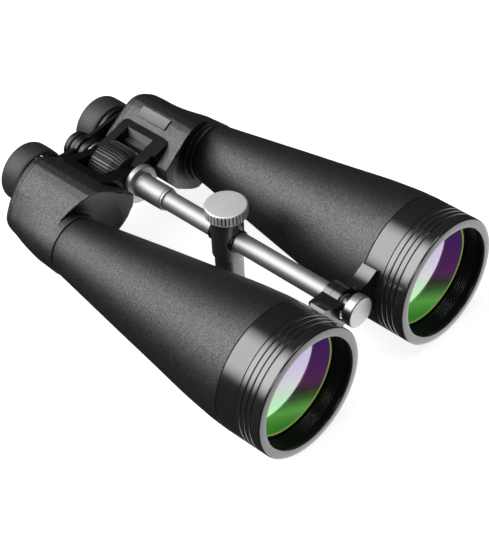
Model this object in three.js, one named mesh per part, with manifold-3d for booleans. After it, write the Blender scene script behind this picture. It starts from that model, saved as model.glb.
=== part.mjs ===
// Large 20x80 class Porro binoculars on a fixed centre bar, with a sliding tripod post.
// Millimetres, +Z up. Optical axes lie along Y: objectives face -Y, eyepieces face +Y.
// The wearer's left half is on +X and the right half is on -X.
import * as THREE from "three";
import { mergeVertices } from "three/addons/utils/BufferGeometryUtils.js";
import Module from "manifold-3d";

const wasm = await Module();
wasm.setup();

// Driving dimensions
const LENGTH = 305; // front rim to eyecup ends
const GAP = 0.3; // clearance between pieces that bear on each other
const BARREL_X = 68; // objective axes, from the centre plane
const BARREL_Z = 47; // objective axes, above the surface it stands on
const EYE_X = 36.2; // eyepiece axes, widest setting
const EYE_Z = 49.4;
const HINGE_Z = 58; // centre bar axis
const RIM_R = 47; // outside of the objective rings
const RIM_BORE = 40.2; // clear opening at the very front
const CLEAR_R = 40; // 80 mm clear aperture
const BAR_R = 7;
const RING_END = 20.8; // rear of the objective ring
const COLLAR_START = 21.1;
const COLLAR_END = 37.2;
const BARREL_START = 37.5;
const NECK_Y = 216; // where the barrel meets the prism housing
const NECK_R = 22.7;
const COVER_Y = 269; // seam between the housing and its rear cover
const COVER_END = 275;
const POST_Y = 135.6; // tripod post, rest place on the bar
const WHEEL_START = 233.2;
const WHEEL_END = 257.2;

// ---------- helpers ----------

// A closed solid from a three.js geometry, turned face out if it came inside out.
function solid(geometry) {
  const g = geometry.clone();
  g.deleteAttribute("normal");
  g.deleteAttribute("uv");
  const m = mergeVertices(g, 1e-4);
  const tris = new Uint32Array(m.index.array);
  const verts = new Float32Array(m.attributes.position.array);
  let s = new wasm.Manifold(new wasm.Mesh({ numProp: 3, vertProperties: verts, triVerts: tris }));
  if (s.volume() < 0) {
    for (let i = 0; i < tris.length; i += 3) [tris[i + 1], tris[i + 2]] = [tris[i + 2], tris[i + 1]];
    s = new wasm.Manifold(new wasm.Mesh({ numProp: 3, vertProperties: verts, triVerts: tris }));
  }
  return s;
}

// Turned shape about Y from [radius, y] points, moved to an axis at x, z.
function turned(points, x = 0, z = 0, segments = 20) {
  const profile = [...points, points[0]].map(([r, y]) => new THREE.Vector2(Math.max(r, 0), y));
  return solid(new THREE.LatheGeometry(profile, segments)).translate([x, 0, z]);
}

// Tube or rod about Y between two y values.
function ring(outer, inner, y0, y1, x = 0, z = 0, segments = 20) {
  return inner > 0
    ? turned([[inner, y0], [outer, y0], [outer, y1], [inner, y1]], x, z, segments)
    : rod([[outer, y0], [outer, y1]], x, z, segments);
}

// Solid of revolution whose profile starts and ends on the axis.
function rod(points, x = 0, z = 0, segments = 20) {
  const profile = [[0, points[0][1]], ...points, [0, points[points.length - 1][1]]];
  const g = new THREE.LatheGeometry(profile.map(([r, y]) => new THREE.Vector2(r, y)), segments);
  return solid(g).translate([x, 0, z]);
}

// The same about a vertical axis: [radius, z] points.
function upright(points, x, y, segments = 16) {
  return rod(points, 0, 0, segments).rotate([90, 0, 0]).translate([x, y, 0]);
}

// Outline in x, z extruded along Y from y0 to y1.
function plate(outline, y0, y1, holes = []) {
  const shape = outline instanceof THREE.Shape
    ? outline
    : new THREE.Shape(outline.map(([x, z]) => new THREE.Vector2(x, z)));
  const g = new THREE.ExtrudeGeometry(shape, { depth: y1 - y0, bevelEnabled: false, curveSegments: 8 });
  let s = solid(g.rotateX(Math.PI / 2)).translate([0, y1, 0]);
  for (const [x, z, r] of holes) s = s.subtract(ring(r, 0, y0 - 1, y1 + 1, x, z, 16));
  return s;
}

function block(x0, x1, y0, y1, z0, z1) {
  const g = new THREE.BoxGeometry(x1 - x0, y1 - y0, z1 - z0);
  return solid(g).translate([(x0 + x1) / 2, (y0 + y1) / 2, (z0 + z1) / 2]);
}

function circle(x, z, r, n = 20) {
  return Array.from({ length: n }, (_, i) => {
    const a = (2 * Math.PI * i) / n;
    return [x + r * Math.cos(a), z + r * Math.sin(a)];
  });
}

// Convex outline round a set of points.
function hull(points) {
  const p = [...points].sort((a, b) => a[0] - b[0] || a[1] - b[1]);
  const turn = (o, a, b) => (a[0] - o[0]) * (b[1] - o[1]) - (a[1] - o[1]) * (b[0] - o[0]);
  const half = (list) => {
    const h = [];
    for (const q of list) {
      while (h.length > 1 && turn(h[h.length - 2], h[h.length - 1], q) <= 1e-9) h.pop();
      h.push(q);
    }
    h.pop();
    return h;
  };
  return [...half(p), ...half(p.reverse())];
}

// The outline resampled on evenly spread rays from a centre, moved in by inset.
function rays(outline, cx, cz, inset, count) {
  return Array.from({ length: count }, (_, i) => {
    const a = (2 * Math.PI * i) / count;
    const dx = Math.cos(a), dz = Math.sin(a);
    let best = 0;
    for (let k = 0; k < outline.length; k++) {
      const [ax, az] = outline[k], [bx, bz] = outline[(k + 1) % outline.length];
      const ex = bx - ax, ez = bz - az, det = dx * -ez + dz * ex;
      if (Math.abs(det) < 1e-9) continue;
      const t = ((ax - cx) * -ez + (az - cz) * ex) / det;
      const u = (dx * (az - cz) - dz * (ax - cx)) / det;
      if (t > 0 && u >= -1e-9 && u <= 1 + 1e-9) best = Math.max(best, t);
    }
    return [cx + (best - inset) * dx, cz + (best - inset) * dz];
  });
}

// A body through a run of outlines [{ y, points }] with equal point counts, capped flat.
function lofted(sections) {
  const n = sections[0].points.length, v = [], f = [];
  for (const { y, points } of sections) for (const [x, z] of points) v.push(x, y, z);
  for (let s = 0; s + 1 < sections.length; s++)
    for (let i = 0; i < n; i++) {
      const a = s * n + i, b = s * n + ((i + 1) % n), c = a + n, d = b + n;
      f.push(a, b, d, a, d, c);
    }
  for (const [row, flip] of [[0, true], [sections.length - 1, false]]) {
    const p = sections[row].points;
    const mid = v.length / 3;
    v.push(p.reduce((t, q) => t + q[0], 0) / n, sections[row].y, p.reduce((t, q) => t + q[1], 0) / n);
    for (let i = 0; i < n; i++) {
      const a = row * n + i, b = row * n + ((i + 1) % n);
      if (flip) f.push(mid, b, a);
      else f.push(mid, a, b);
    }
  }
  const g = new THREE.BufferGeometry();
  g.setAttribute("position", new THREE.Float32BufferAttribute(v, 3));
  g.setIndex(f);
  return solid(g);
}

// ---------- materials ----------

const mat = (color, roughness, metalness) => new THREE.MeshStandardMaterial({ color, roughness, metalness });
const looks = {
  pebbled: () => mat(0x26262a, 0.6, 0.1),
  satin: () => mat(0x17171a, 0.35, 0.3),
  matte: () => mat(0x101012, 0.8, 0.0),
  alloy: () => mat(0xc9cacc, 0.3, 0.9),
  steel: () => mat(0x8f9194, 0.3, 0.9),
  rubber: () => mat(0x1c1c1e, 0.75, 0.0),
  glass: () => mat(0x6fa38c, 0.05, 0.0),
  prism: () => mat(0xb9c8cc, 0.05, 0.0),
};

const root = new THREE.Group();
root.name = "binoculars";
root.position.y = -LENGTH / 2;

function add(name, look, s, group = root) {
  const out = s.getMesh();
  const n = out.numProp, pos = new Float32Array(out.numVert * 3);
  for (let i = 0; i < out.numVert; i++) pos.set(out.vertProperties.subarray(i * n, i * n + 3), i * 3);
  const g = new THREE.BufferGeometry();
  g.setAttribute("position", new THREE.BufferAttribute(pos, 3));
  g.setIndex(new THREE.BufferAttribute(new Uint32Array(out.triVerts), 1));
  g.computeVertexNormals();
  const mesh = new THREE.Mesh(g, looks[look]());
  mesh.name = name;
  group.add(mesh);
  return mesh;
}

// ---------- prism housing outline (left half, +X) ----------

const INNER_TOP = [
  [15.5, 64], [18, 66.2], [27.8, 72.6], [36.4, 78.7], [41, 81.4], [46, 83], [52, 82.6], [57.9, 80.2],
  [64.5, 76], [70.2, 70.2], [76.7, 60.8], [80.2, 51.9],
];
const INNER_BOTTOM = [[62, 21.5], [55, 21], [48, 24], [40, 29.5], [29.5, 38], [23.8, 45.2], [19.9, 50.4], [16.6, 55.6]];
// Radius of the part that grows out of the barrel, [y, radius].
const SHOULDER = [[205, 23.2], [NECK_Y, NECK_R], [225, 22.1], [235, 21.6], [245, 20], [255, 17.9], [264, 15.3], [269, 13.8]];
const RAYS = 32;

function shoulderR(y) {
  const i = Math.max(1, SHOULDER.findIndex(([t]) => t >= y));
  const [y0, r0] = SHOULDER[i - 1], [y1, r1] = SHOULDER[i];
  return r0 + ((r1 - r0) * (y - y0)) / (y1 - y0);
}

function housingOutline(y, inset) {
  const c = circle(BARREL_X, BARREL_Z, shoulderR(Math.min(y, COVER_Y)), 20);
  return rays(hull([...INNER_TOP, ...INNER_BOTTOM, ...c]), 52, 50, inset, RAYS);
}

function housingBody(inset, levels) {
  return lofted(levels.map((y) => ({ y, points: housingOutline(y, inset) })));
}

// Space in front of the housing: a scoop round the barrel that leaves the neck standing.
function scoop(shift) {
  const neck = NECK_R + 0.1 - shift;
  const dish = rod([[120, 190], [120, 210 + shift], [56, 210.3 + shift], [46, 211 + shift],
    [42, 212.3 + shift], [36, 215.8 + shift], [28, 220 + shift], [neck, 222.3 + shift],
    [neck, NECK_Y + shift]], BARREL_X, BARREL_Z, 30);
  // the inner lower corner leans back
  const lean = plate([[-60, -60], [60, -60], [60, 0], [-60, 0]], 0, 36)
    .translate([20, -60, 0])
    .rotate([-21, 0, 0])
    .translate([0, 211 + shift, 62])
    .subtract(ring(NECK_R + 1.4 - shift, 0, 150, 280, BARREL_X, BARREL_Z, 20));
  return dish.add(lean);
}

// Opening beside the focus wheel, in the housing's inner side.
function wheelBay(grow) {
  const side = [[-30, 44], [19.5 + grow, 44], [20.6 + grow, 64], [25.9 + grow, 76.5], [25.9 + grow, 100], [-30, 100]];
  return plate(side, 231.2 - grow, 259.4 + grow).add(ring(20.2 + grow, 0, 231.2 - grow, 259.4 + grow, 0, HINGE_Z, 20));
}

// Hinge bracket frame: slopes down from the housing to the lugs.
const FRAME_SLOPE = 15;
function frameBlank(grow) {
  const top = new THREE.Shape();
  const x0 = -4, x1 = 32.4 + grow, y0 = 221 - grow, y1 = 265.6 + grow, r = 4;
  top.moveTo(x0, y0);
  top.lineTo(x1 - 8, y0);
  top.quadraticCurveTo(x1, y0, x1, y0 + r + 2);
  top.lineTo(x1, y1 - r);
  top.quadraticCurveTo(x1, y1, x1 - r, y1);
  top.lineTo(x0, y1);
  const g = new THREE.ExtrudeGeometry(top, { depth: 15 + 2 * grow, bevelEnabled: false, curveSegments: 3 });
  const fall = Math.tan((FRAME_SLOPE * Math.PI) / 180);
  // the top face passes through x 32, z 77; past x 15 the frame is only 8 deep
  const under = [[15 + grow, 0], [90, 0], [90, 68.7 + 58 * fall - grow], [15 + grow, 68.7 - 17 * fall - grow]];
  return solid(g).translate([0, 0, -15 - grow])
    .rotate([0, -FRAME_SLOPE, 0])
    .translate([0, 0, 77 - 32 * fall])
    .subtract(plate(under, 200, 290));
}

// ---------- one half, built on +X and mirrored for the right ----------

function half(side) {
  const left = side === "left";
  const group = new THREE.Group();
  group.name = side + "_half";
  root.add(group);
  const place = (name, look, s) => add(name + "_" + side, look, left ? s : s.mirror([1, 0, 0]), group);
  const onAxis = (points, segments) => turned(points, BARREL_X, BARREL_Z, segments);

  // Barrel: tapered tube with a spigot at each end
  place("barrel", "pebbled", onAxis([
    [44.9, COLLAR_START + 0.2], [44.9, BARREL_START], [46.9, BARREL_START], [46.4, 48], [45.4, 58], [43.2, 76],
    [32.8, 144], [21.9, NECK_Y - GAP], [18.9, NECK_Y - GAP], [18.9, 221.5],
    [16.9, 221.5], [16.9, 212], [42.4, 62], [43.6, 40], [43.6, COLLAR_START + 0.2],
  ], 30));

  // Objective ring with three grip grooves
  const groove = (y) => [[RIM_R, y - 0.5], [RIM_R - 0.9, y], [RIM_R, y + 0.5]];
  place("objective_ring", "satin", onAxis([
    [45.3, 0], [RIM_R, 1], ...groove(8.3), ...groove(12.5), ...groove(16.7), [RIM_R, RING_END],
    [43.6, RING_END], [43.6, 15.6], [41.2, 15.6], [41.2, 2.2], [RIM_BORE, 1.6], [RIM_BORE, 0],
  ], 30));

  // Bridge collar with the arm to the front hinge lug
  const lugStart = left ? 30.8 : 37.4, lugEnd = left ? 37.1 : 43.6;
  const lugOutline = circle(0, HINGE_Z, 10.6, 16);
  const arm = new THREE.Shape();
  arm.moveTo(3, HINGE_Z + 8.6);
  arm.quadraticCurveTo(15, HINGE_Z + 6.5, 24.5, HINGE_Z + 13.5);
  arm.lineTo(28.5, HINGE_Z + 11);
  arm.lineTo(25.5, 36);
  arm.quadraticCurveTo(14, 42, 4, HINGE_Z - 9.6);
  arm.closePath();
  let collar = onAxis([[45.2, COLLAR_START], [RIM_R - 0.3, COLLAR_START], [RIM_R, COLLAR_START + 0.3],
    [RIM_R, COLLAR_END - 0.4], [RIM_R - 0.4, COLLAR_END], [45.2, COLLAR_END]], 30);
  collar = collar.add(plate(arm, 25.5, 37.1)).add(plate(lugOutline, lugStart, lugEnd));
  if (!left) {
    const step = block(3, 20.4, 36, lugEnd, HINGE_Z - 9, HINGE_Z + 7.9);
    collar = collar.add(step.subtract(ring(RIM_R + 0.6, 0, 30, 50, BARREL_X, BARREL_Z, 30)));
    collar = collar.subtract(ring(11, 0, 20, lugStart, 0, HINGE_Z));
  } else {
    collar = collar.subtract(ring(12.6, 0, 20, lugStart, 0, HINGE_Z));
    collar = collar.subtract(ring(11, 0, lugEnd, 60, 0, HINGE_Z));
  }
  collar = collar.subtract(ring(45.2, 0, 10, 60, BARREL_X, BARREL_Z, 30));
  collar = collar.subtract(ring(BAR_R + GAP, 0, 20, 60, 0, HINGE_Z, 16));
  place("bridge_collar", "satin", collar);

  // Objective cell, doublet and its retaining ring
  place("objective_cell", "matte", onAxis([
    [CLEAR_R + 0.4, 16], [43.3, 16], [43.3, 34], [42, 34], [42, 18.4], [CLEAR_R + 0.4, 17.2],
  ], 30));
  const lensR = 41.6;
  const domed = (y0, sag0, y1, sag1, r, segments) => {
    const pts = [];
    for (let i = 0; i <= 2; i++) pts.push([(r * i) / 2, y0 + sag0 * (i / 2) ** 2]);
    for (let i = 2; i >= 0; i--) pts.push([(r * i) / 2, y1 + sag1 * (i / 2) ** 2]);
    return solid(new THREE.LatheGeometry(pts.map(([a, b]) => new THREE.Vector2(a, b)), segments));
  };
  place("objective_crown", "glass", domed(16.2, 2.6, 24.6, -2.2, lensR, 30).translate([BARREL_X, 0, BARREL_Z]));
  place("objective_flint", "glass", domed(25, -2.2, 28.6, 0.6, lensR, 30).translate([BARREL_X, 0, BARREL_Z]));
  place("objective_retainer", "matte", onAxis([[39.6, 29.7], [41.7, 29.7], [41.7, 32.6], [39.6, 32.6]], 30));

  // Prism housing: outer loft, scoop, pocket for the bracket, hollow for the prisms
  const levels = [205, NECK_Y, 235, 249, 261, COVER_Y];
  let housing = housingBody(0, levels).subtract(scoop(0)).subtract(wheelBay(0)).subtract(frameBlank(GAP));
  let hollow = housingBody(2.6, [206, 235, 255, COVER_Y + 2])
    .subtract(scoop(2.6)).subtract(wheelBay(2.4)).subtract(frameBlank(2.2));
  hollow = hollow.add(ring(19.2, 0, 200, 236, BARREL_X, BARREL_Z, 20));
  hollow = hollow.decompose().sort((a, b) => b.volume() - a.volume())[0];
  housing = housing.subtract(hollow).decompose().sort((a, b) => b.volume() - a.volume())[0];
  housing = housing.subtract(ring(14.2, 0, 261.2, 272, EYE_X, EYE_Z, 28)); // room for the sliding tube
  place("prism_housing", "pebbled", housing);

  // Rear cover, edge eased
  const coverBody = lofted([
    { y: COVER_Y + GAP, points: housingOutline(COVER_Y, 0) },
    { y: 272.6, points: housingOutline(COVER_Y, 0.5) },
    { y: 274.2, points: housingOutline(COVER_Y, 1.5) },
    { y: COVER_END, points: housingOutline(COVER_Y, 3) },
  ]);
  place("rear_cover", "satin", coverBody
    .add(ring(18.2, 0, COVER_Y + GAP, COVER_END, EYE_X, EYE_Z, 28))
    .subtract(ring(15.2, 0, 260, 280, EYE_X, EYE_Z, 20))
    .subtract(ring(13.2, 0, 260, 280, 0, HINGE_Z, 16)));

  // Prisms: half-square glass blocks, hypotenuse faces turned to the shelf between them
  const prism = (yFace, toward, cx, cz, angle, length, width) => {
    const g = new THREE.ExtrudeGeometry(
      new THREE.Shape([[-length / 2, 0], [length / 2, 0], [0.8, toward * (length / 2 - 0.8)],
        [-0.8, toward * (length / 2 - 0.8)]].map(([a, b]) => new THREE.Vector2(a, b))),
      { depth: width, bevelEnabled: false });
    // profile drawn in x, y and extruded along z
    return solid(g).translate([0, 0, -width / 2]).rotate([0, angle, 0]).translate([cx, yFace, cz]);
  };
  place("rear_prism", "prism", prism(244.3, 1, 60.65, 55.7, 49.3, 40, 20));
  place("front_prism", "prism", prism(241.1, -1, 45.2, 57.2, -40.7, 32, 19));

  // Shelf the prisms seat on, with a light port under each beam
  const shelfOutline = rays(housingOutline(243, 0), 52, 50, 3.2, 16);
  place("prism_shelf", "matte", plate(shelfOutline, 241.4, 244)
    .subtract(wheelBay(2.9)).subtract(frameBlank(2.8))
    .decompose().sort((a, b) => b.volume() - a.volume())[0]
    .subtract(ring(9.6, 0, 240, 246, BARREL_X - 1, BARREL_Z + 1, 16))
    .subtract(ring(9, 0, 240, 246, 53.3, 64.1, 16))
    .subtract(ring(9.4, 0, 240, 246, EYE_X, EYE_Z, 16)));

  // Strap that holds the rear prism down
  const u = [-Math.sin((40.7 * Math.PI) / 180), Math.cos((40.7 * Math.PI) / 180)];
  const strap = (a, w) => [60.65 + a * u[0] + w * u[1], 55.7 + a * u[1] - w * u[0]];
  const strapPoints = [[-8.6, -5], [8.6, -5], [8.6, 5], [-8.6, 5]].map(([a, w]) => strap(a, w));
  place("prism_strap", "steel", plate(strapPoints, 264.2, 265.4));

  // Hinge bracket: window for the wheel, lug at each end of it
  const front = left ? [223.6, 228] : [228.3, 232.7];
  const back = left ? [262.1, 265.9] : [257.9, 261.8];
  let bracket = frameBlank(0).subtract(plate([[-30, 0], [25.7, 0], [25.7, 120], [-30, 120]], 232.6, 258));
  bracket = bracket.subtract(block(-20, 15.4, 200, 223.4, 0, 120));
  const skirt = plate([[-20, 0], [70, 0], [70, 59], [-20, 59]], 200, 280);
  bracket = bracket.subtract(skirt.translate([18, 0, 0]));
  for (const [a, b] of [front, back]) bracket = bracket.add(ring(10, 0, a, b, 0, HINGE_Z, 16));
  const clear = left
    ? [[200, 223.5], [228.1, 262], [266, 290]]
    : [[200, 228.2], [232.8, 257.8], [261.9, 290]];
  for (const [a, b] of clear) bracket = bracket.subtract(ring(10.4, 0, a, b, 0, HINGE_Z, 16));
  bracket = bracket.subtract(plate([[-30, 0], [1.2, 0], [1.2, 120], [-30, 120]], 200, 290)
    .subtract(ring(10, 0, 200, 290, 0, HINGE_Z, 16)));
  bracket = bracket.subtract(ring(6.4, 0, 200, 290, 0, HINGE_Z, 30));
  bracket = bracket.decompose().sort((a, b) => b.volume() - a.volume())[0];
  place("hinge_bracket", "satin", bracket);

  // Eyepiece: fixed guide, sliding tube, lenses, cup
  const eye = (points, segments = 20) => turned(points, EYE_X, EYE_Z, segments);
  place("eyepiece_guide", "satin", eye([[13.5, 269.6], [14.9, 269.6], [14.9, COVER_END + GAP], [17.6, COVER_END + GAP],
    [17.6, 275.9], [13.5, 275.9]]));
  place("ocular_tube", "satin", eye([[11.4, 264], [13.2, 264], [13.2, 286.8], [19, 286.8],
    [19, 293.2], [14, 293.2], [14, 296.2], [10.4, 296.2], [10.4, 295.2], [11.4, 295.2]]));
  place("field_lens", "glass", domed(264.8, 1.2, 269.4, -0.4, 11.1, 16).translate([EYE_X, 0, EYE_Z]));
  place("eye_lens", "glass", domed(287.8, 0.4, 294.9, -1.2, 11.1, 16).translate([EYE_X, 0, EYE_Z]));
  place("eyecup", "rubber", eye([[19.3, 287.1], [21.6, 287.1], [22.6, 289], [22.9, 302.6], [22.3, LENGTH - 0.5],
    [21.6, LENGTH], [20.8, LENGTH - 0.4], [20.2, 297], [19.2, 295.4], [14.3, 294.6], [14.3, 293.5], [19.3, 293.5]]));

  // Bridge arm: flat plate from the eyepiece to the focusing hub
  const armY = left ? [280.6, 283.4] : [277.4, 280.3];
  const armOutline = hull([...circle(EYE_X, EYE_Z, 18.9, 16), ...circle(6, HINGE_Z - 0.5, 7.5, 16)]);
  place("bridge_arm", "satin", plate(armOutline, ...armY)
    .add(ring(11, 0, ...armY, 0, HINGE_Z, 16))
    .subtract(ring(13.5, 0, 270, 290, EYE_X, EYE_Z, 20))
    .subtract(ring(5.3, 0, 270, 290, 0, HINGE_Z, 16)));
  return group;
}

half("left");
half("right");

// ---------- dioptre ring (right) and plain collar (left) ----------

const tab = (y0, y1, sx) => {
  let s = turned([[13.5, y0], [21.2, y0], [21.6, y0 + 0.5], [21.6, y1], [13.5, y1]], sx * EYE_X, EYE_Z, 20);
  return s;
};
let dioptre = tab(281.9, 286.5, -1);
for (let i = 0; i < 9; i++) {
  dioptre = dioptre.subtract(block(21, 23, 283.8, 287, -0.5, 0.5).rotate([0, 180 + 12 * i, 0])
    .translate([-EYE_X, 0, EYE_Z]));
}
add("dioptre_ring", "satin", dioptre);
add("eyepiece_collar_left", "satin", turned([[13.5, 283.8], [20.6, 283.8], [20.6, 286.5], [13.5, 286.5]], EYE_X, EYE_Z, 20));

// ---------- badge: a plain plate on the left housing ----------

{
  const angle = 27.5;
  const badge = block(-4.1, 4.1, 231, 258.6, 0, 0.7).rotate([0, -angle, 0]).translate([39.6, 0, 81.2]);
  add("badge_plate", "steel", badge);
}

// ---------- centre: bar, sleeve, axle, focus gear, knob ----------

const centre = new THREE.Group();
centre.name = "centre";
root.add(centre);

add("centre_bar", "alloy", rod([[6.2, 30.4], [BAR_R, 31.2], [BAR_R, 222.4], [4.2, 222.4], [4.2, 231]], 0, HINGE_Z, 16)
  .subtract(ring(3.9, 0, 20, 41, 0, HINGE_Z, 16)), centre);
add("bar_sleeve", "alloy", turned([[BAR_R + GAP, 192.3], [8.2, 192.3], [8.65, 193], [8.65, 217.4], [9.6, 218.6],
  [14, 218.6], [14.4, 219.1], [14.4, 222.6], [14, 223.1], [BAR_R + GAP, 223.1]], 0, HINGE_Z, 20), centre);
add("hinge_axle", "satin", turned([[4.6, 223.4], [6.1, 223.4], [6.1, 268.6], [4.6, 268.6]], 0, HINGE_Z, 16), centre);
add("axle_washer", "alloy", turned([[6.4, 266.3], [11.4, 266.3], [11.4, 268.3], [6.4, 268.3]], 0, HINGE_Z, 16), centre);

// Focus wheel: barrel shaped, ribs in groups with plain lands between
let wheel = turned([[6.4, WHEEL_START], [15.4, WHEEL_START], [17.5, 238.5], [18.1, 246],
  [17.4, WHEEL_END - 0.8], [16.6, WHEEL_END], [6.4, WHEEL_END]], 0, HINGE_Z, 24);
const grooves = [];
for (let g = 0; g < 6; g++) for (let k = 0; k < 3; k++) grooves.push(g * 60 + k * 11 + 14);
for (const a of grooves) {
  const cut = block(16.9, 20, WHEEL_START - 2, WHEEL_END + 2, -0.55, 0.55);
  wheel = wheel.subtract(cut.rotate([0, a, 0]).translate([0, 0, HINGE_Z]));
}
add("focus_wheel", "satin", wheel, centre);

// Focusing hub: rod in the axle, core for the arms, domed end
add("focus_rod", "steel", rod([[3.6, 244], [4.2, 244.8], [4.2, 276.2], [3.2, 276.2], [3.2, 283.6]], 0, HINGE_Z, 16), centre);
add("hub_spacer", "satin", turned([[4.5, 270.4], [8.4, 270.4], [10.4, 271.4], [10.4, 275.9], [4.5, 275.9]],
  0, HINGE_Z, 16), centre);
const hub = rod([[5, 276.6], [5, 284], [11.2, 284], [11.9, 284.8], [11.9, 287.4], [10.6, 289.4], [7, 290.6]], 0, HINGE_Z, 16)
  .subtract(ring(3.5, 0, 270, 283.9, 0, HINGE_Z, 16));
add("bridge_hub", "satin", hub, centre);

// Front end knob with a coin-edge face
add("front_knob", "alloy", rod([[10.2, 16.6], [11.3, 17.4], [11.3, 23.4], [10.9, 24], [6, 24], [6, 30], [3.5, 30], [3.5, 40]],
  0, HINGE_Z, 20), centre);

// ---------- tripod post on the bar ----------

const post = new THREE.Group();
post.name = "post_group";
root.add(post);

const bushR = 8.2;
add("post_bush", "matte", ring(bushR, BAR_R + GAP, POST_Y - 11, POST_Y + 11, 0, HINGE_Z, 16)
  .subtract(upright([[4.1, HINGE_Z], [4.1, 80]], 0, POST_Y, 16)), post);

let body = upright([[9.4, 0], [10, 0.6], [10, 42.5], [11.45, 43.4], [11.45, 75.4], [11, 76]], 0, POST_Y, 20);
body = body.subtract(block(-20, 20, POST_Y - 20, POST_Y - 8.9, 3, 39)); // flats front and back
body = body.subtract(block(-20, 20, POST_Y + 8.9, POST_Y + 20, 3, 39));
body = body.subtract(ring(bushR + GAP, 0, POST_Y - 20, POST_Y + 20, 0, HINGE_Z, 16));
body = body.subtract(upright([[3.5, HINGE_Z], [3.5, 90]], 0, POST_Y, 20));
body = body.subtract(upright([[3.3, -1], [3.3, 0.4], [2.7, 1], [2.7, 13]], 0, POST_Y, 20)); // 1/4-20 socket
add("tripod_post", "satin", body, post);

add("clamp_shoe", "steel", upright([[3.1, 65.5], [3.1, 69.2]], 0, POST_Y, 20), post);

let lockKnob = upright([[3.1, 69.6], [3.1, 76.4], [13.2, 76.4], [15.1, 77.4], [15.1, 84.2], [14.2, 85.2]], 0, POST_Y, 20);
for (let i = 0; i < 20; i++) {
  const cut = block(14.4, 17, -0.9, 0.9, 76, 83.4).rotate([0, 0, (360 * i) / 20]);
  lockKnob = lockKnob.subtract(cut.translate([0, POST_Y, 0]));
}
add("lock_knob", "alloy", lockKnob, post);

export default root;
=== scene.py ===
import math

import bmesh
import bpy
from mathutils import Matrix, Vector


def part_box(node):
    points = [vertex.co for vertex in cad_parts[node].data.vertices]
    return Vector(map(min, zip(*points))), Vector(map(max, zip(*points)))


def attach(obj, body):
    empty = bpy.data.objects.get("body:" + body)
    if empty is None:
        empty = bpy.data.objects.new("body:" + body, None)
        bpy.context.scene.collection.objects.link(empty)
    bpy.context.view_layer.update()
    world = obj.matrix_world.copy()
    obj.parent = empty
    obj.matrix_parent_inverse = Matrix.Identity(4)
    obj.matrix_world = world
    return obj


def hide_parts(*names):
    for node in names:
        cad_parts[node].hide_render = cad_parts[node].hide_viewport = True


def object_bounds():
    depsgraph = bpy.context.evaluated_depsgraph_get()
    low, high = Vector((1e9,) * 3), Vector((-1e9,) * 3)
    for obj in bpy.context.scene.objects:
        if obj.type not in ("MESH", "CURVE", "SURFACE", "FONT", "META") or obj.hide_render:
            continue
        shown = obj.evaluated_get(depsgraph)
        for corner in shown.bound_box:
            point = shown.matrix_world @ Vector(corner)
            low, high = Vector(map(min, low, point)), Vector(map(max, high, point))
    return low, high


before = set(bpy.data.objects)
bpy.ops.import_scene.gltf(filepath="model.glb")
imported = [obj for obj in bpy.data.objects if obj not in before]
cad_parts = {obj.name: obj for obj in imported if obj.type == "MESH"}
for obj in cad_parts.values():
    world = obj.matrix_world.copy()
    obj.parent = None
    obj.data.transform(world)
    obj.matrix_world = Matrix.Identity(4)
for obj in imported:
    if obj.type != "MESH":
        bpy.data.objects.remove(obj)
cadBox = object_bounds()
bpy.ops.object.select_all(action="DESELECT")

mm = 0.001
rimY = cadBox[0].y  # front of the objective rings; lengths along the tubes start here


def middle(node):
    low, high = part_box(node)
    return (low + high) / 2 / mm


barrelX, barrelZ = middle("barrel_left").x, middle("barrel_left").z
eyeX, eyeZ = middle("eyecup_left").x, middle("eyecup_left").z
hingeZ = middle("centre_bar").z
postY = middle("tripod_post").y - rimY / mm

# modelling

def at(x, y, z):
    # millimetres, y from the front rim
    return Vector((x * mm, rimY + y * mm, z * mm))


def only(piece):
    bpy.ops.object.select_all(action="DESELECT")
    piece.select_set(True)
    bpy.context.view_layer.objects.active = piece


def drawn(name, points, closed=True):
    # a plane shrunk to one point, then extruded from point to point
    bpy.ops.mesh.primitive_plane_add(size=mm, location=points[0])
    piece = bpy.context.object
    piece.name = piece.data.name = name
    bpy.ops.object.mode_set(mode="EDIT")
    bpy.ops.mesh.merge(type="CENTER")
    path = list(points) + ([points[0]] if closed else [])
    for a, b in zip(path, path[1:]):
        bpy.ops.mesh.extrude_region_move(TRANSFORM_OT_translate={"value": b - a})
    bpy.ops.mesh.select_all(action="SELECT")
    return piece


def settle(piece):
    # place into the mesh, faces out
    bpy.ops.object.mode_set(mode="OBJECT")
    only(piece)
    bpy.ops.object.transform_apply(location=True, rotation=True, scale=True)
    return faceOut(piece)


def faceOut(piece):
    shell = bmesh.new()
    shell.from_mesh(piece.data)
    inward = shell.calc_volume(signed=True) < 0
    shell.free()
    if inward:
        piece.data.flip_normals()
    return piece


def easeSharp(width, angle=24, segments=2):
    # edit mode: bevels what is sharper than the angle
    bpy.ops.mesh.select_mode(type="EDGE")
    bpy.ops.mesh.select_all(action="DESELECT")
    bpy.ops.mesh.edges_select_sharp(sharpness=math.radians(angle))
    bpy.ops.mesh.bevel(offset=width * mm, segments=segments, profile=0.6, affect="EDGES", clamp_overlap=True)
    bpy.ops.mesh.select_mode(type="VERT")


def smooth(piece, angle=32):
    only(piece)
    bpy.ops.object.shade_smooth_by_angle(angle=math.radians(angle))
    return piece


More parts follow.
